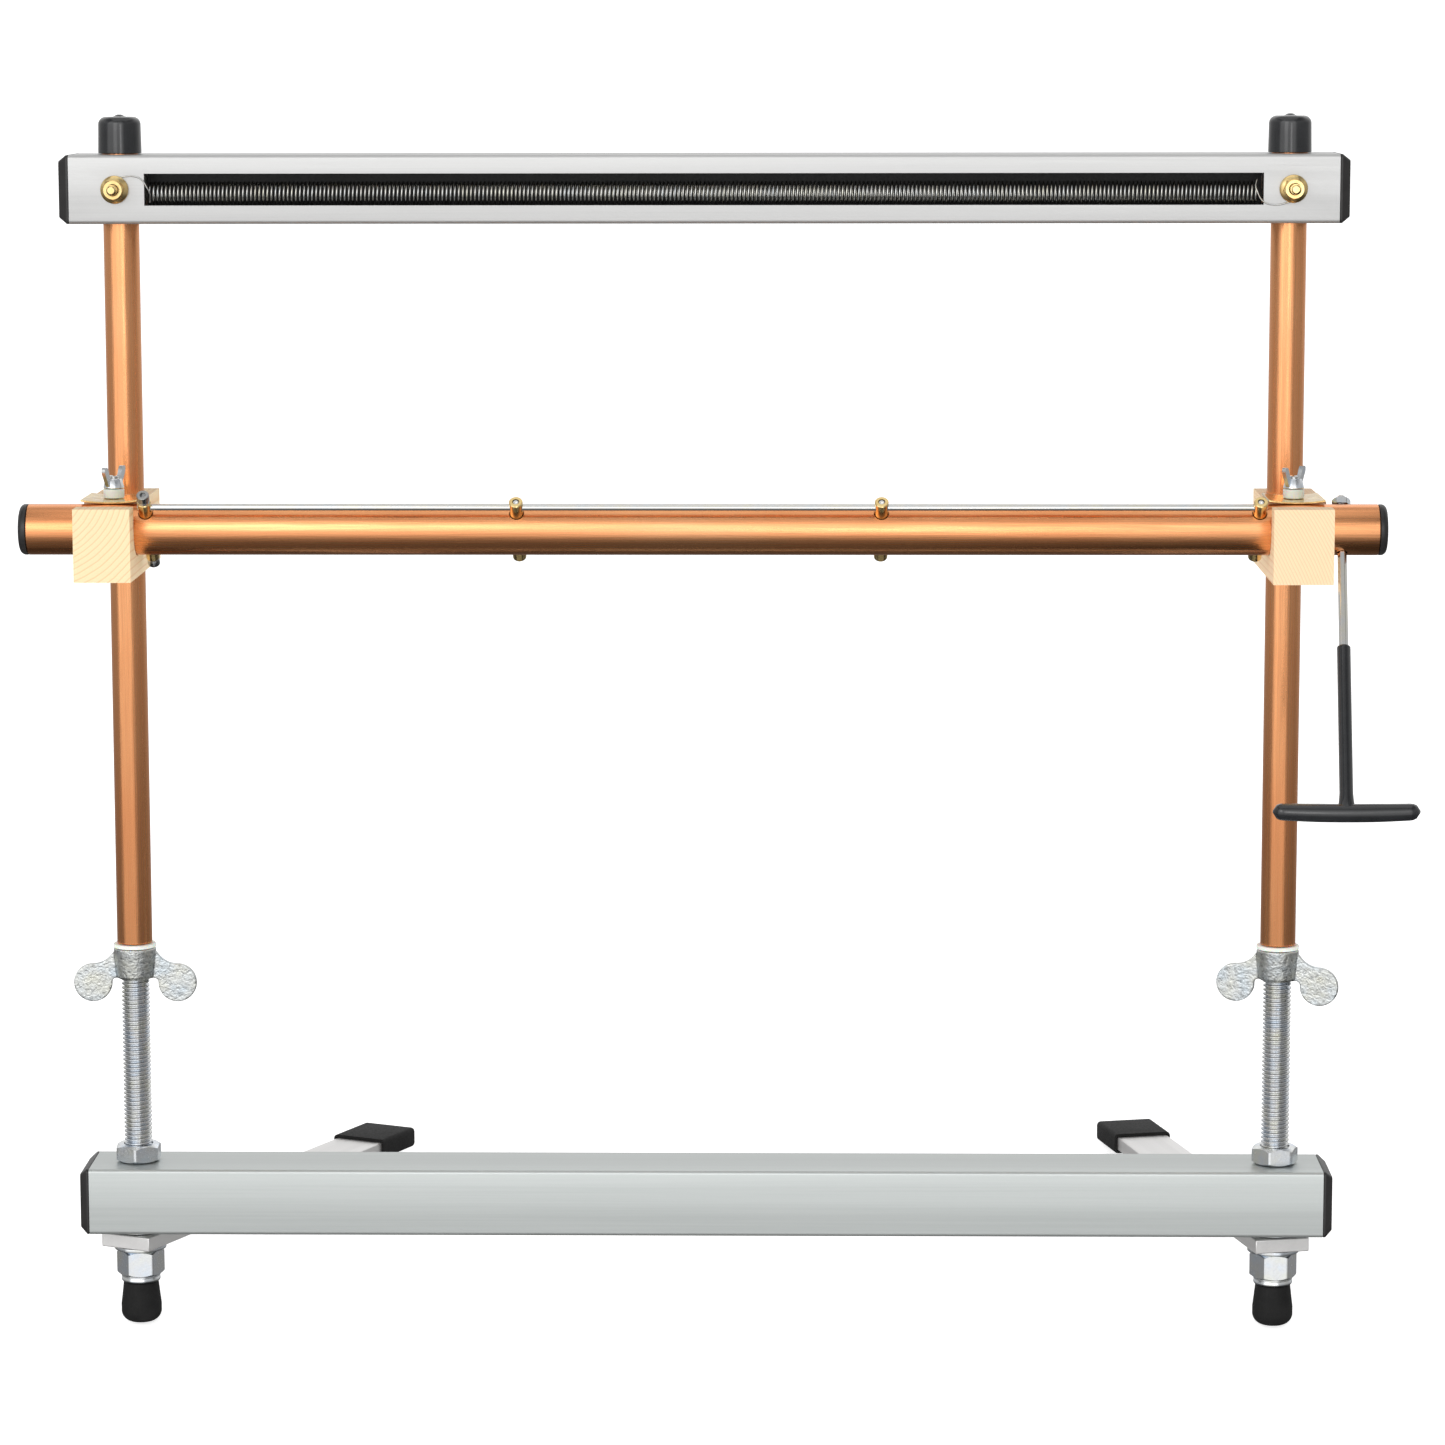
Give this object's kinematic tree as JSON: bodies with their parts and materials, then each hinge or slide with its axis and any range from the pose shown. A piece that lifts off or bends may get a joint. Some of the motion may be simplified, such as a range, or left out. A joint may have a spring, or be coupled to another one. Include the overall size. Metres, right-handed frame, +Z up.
{
  "type": "tapestry loom",
  "caption": "Small upright copper and aluminium tapestry loom with a warp coil, a turning shed shaft on wooden clips, screw height adjusters and folding legs.",
  "frame": {"origin": "middle of the loom's footprint box, on the surface that it stands on", "axes": "+X across the loom to the weaver's right, +Y from the weaver towards the back, +Z up; the loom leans back about 8.9 degrees about X, as it stands on its feet and legs"},
  "size_m": [0.6046, 0.3142, 0.5437],
  "materials": {
    "aluminium": "satin extruded",
    "black_plastic": "moulded",
    "black_rubber": "matte",
    "black_vinyl": "glossy dipped vinyl",
    "brass": "polished",
    "cast_zinc": "rough zinc plated casting",
    "copper": "brushed copper tube",
    "maple": "sanded, unfinished",
    "nylon": "translucent white nylon",
    "spring_steel": "bright spring wire",
    "zinc_steel": "bright zinc plated"
  },
  "bodies": {
    "base": {"bottom_beam": "aluminium", "bottom_beam_cap_left": "black_plastic", "bottom_beam_cap_right": "black_plastic", "threaded_rod_left": "zinc_steel", "threaded_rod_right": "zinc_steel", "jam_nut_left": "zinc_steel", "jam_nut_right": "zinc_steel", "lock_nut_left": "zinc_steel", "lock_nut_right": "zinc_steel", "foot_left": "black_rubber", "foot_right": "black_rubber"},
    "leg_left": {"leg_left": "aluminium", "leg_cap_left": "black_rubber"},
    "leg_right": {"leg_right": "aluminium", "leg_cap_right": "black_rubber"},
    "upper_frame": {"top_beam": "aluminium", "coil_backing": "black_plastic", "warp_coil": "spring_steel", "top_beam_cap_left": "black_plastic", "top_beam_cap_right": "black_plastic", "upright_left": "copper", "upright_right": "copper", "upright_cap_left": "black_vinyl", "upright_cap_right": "black_vinyl", "beam_screw_left": "brass", "beam_screw_right": "brass", "flange_nut_left": "brass", "flange_nut_right": "brass", "nylon_washer_left": "nylon", "nylon_washer_right": "nylon"},
    "wing_nut_left": {"height_wing_nut_left": "cast_zinc"},
    "wing_nut_right": {"height_wing_nut_right": "cast_zinc"},
    "carriage": {"clip_left": "maple", "clip_right": "maple", "clamp_bolt_left": "zinc_steel", "clamp_bolt_right": "zinc_steel", "clamp_spacer_left": "nylon", "clamp_spacer_right": "nylon"},
    "clamp_plate_left": {"clamp_plate_left": "brass"},
    "clamp_plate_right": {"clamp_plate_right": "brass"},
    "clamp_nut_left": {"clamp_wing_nut_left": "zinc_steel"},
    "clamp_nut_right": {"clamp_wing_nut_right": "zinc_steel"},
    "shaft": {"shed_shaft": "copper", "shaft_cap_left": "black_plastic", "shaft_cap_right": "black_plastic", "heddle_post_1": "brass", "heddle_post_2": "brass", "heddle_post_3": "brass", "heddle_post_4": "brass", "post_screw_upper": "zinc_steel", "post_screw_lower": "zinc_steel", "set_screw_2": "zinc_steel", "set_screw_3": "zinc_steel", "set_screw_4": "zinc_steel", "heddle_rod_front": "zinc_steel", "heddle_rod_back": "zinc_steel", "handle_rod": "zinc_steel", "handle_grip": "black_vinyl", "handle_nut": "zinc_steel"}
  },
  "joints": [
    {"name": "leg_left_swing", "type": "hinge", "parent": "base", "child": "leg_left", "pos_m": [-0.26344, -0.06763, 0.03957], "axis": [0, 0.1539, 0.9881], "range_deg": [-55, 40]},
    {"name": "leg_right_swing", "type": "hinge", "parent": "base", "child": "leg_right", "pos_m": [0.25456, -0.06763, 0.03957], "axis": [0, 0.1539, 0.9881], "range_deg": [-27, 67]},
    {"name": "frame_height", "type": "slide", "parent": "base", "child": "upper_frame", "axis": [0, 0.1539, 0.9881], "range_m": [-0.0601, 0.0701]},
    {"name": "wing_nut_left_turn", "type": "hinge", "parent": "upper_frame", "child": "wing_nut_left", "pos_m": [-0.26344, -0.04691, 0.17264], "axis": [0, 0.1539, 0.9881], "range_deg": [-11055, 12897]},
    {"name": "wing_nut_right_turn", "type": "hinge", "parent": "upper_frame", "child": "wing_nut_right", "pos_m": [0.25456, -0.04691, 0.17264], "axis": [0, 0.1539, 0.9881], "range_deg": [-11056, 12898]},
    {"name": "carriage_height", "type": "slide", "parent": "upper_frame", "child": "carriage", "axis": [0, 0.1539, 0.9881], "range_m": [-0.16, 0.09]},
    {"name": "shaft_turn", "type": "hinge", "parent": "carriage", "child": "shaft", "pos_m": [-0.00444, -0.07039, 0.37476], "axis": [1, 0, 0], "range_deg": [-150, 45]},
    {"name": "clamp_plate_left_swing", "type": "hinge", "parent": "carriage", "child": "clamp_plate_left", "pos_m": [-0.26344, -0.05357, 0.38328], "axis": [0, 0.1539, 0.9881], "range_deg": [-90, 90]},
    {"name": "clamp_plate_right_swing", "type": "hinge", "parent": "carriage", "child": "clamp_plate_right", "pos_m": [0.25456, -0.05357, 0.38328], "axis": [0, 0.1539, 0.9881], "range_deg": [-60, 8]},
    {"name": "clamp_nut_left_turn", "type": "hinge", "parent": "carriage", "child": "clamp_nut_left", "pos_m": [-0.26344, -0.0527, 0.38891], "axis": [0, 0.1539, 0.9881], "continuous": true},
    {"name": "clamp_nut_right_turn", "type": "hinge", "parent": "carriage", "child": "clamp_nut_right", "pos_m": [0.25456, -0.0527, 0.38891], "axis": [0, 0.1539, 0.9881], "continuous": true}
  ],
  "couplings": [
    {"joint": "frame_height", "follows": "wing_nut_left_turn", "m_per_rad": 0.00031096},
    {"joint": "wing_nut_right_turn", "follows": "wing_nut_left_turn", "ratio": 1}
  ]
}
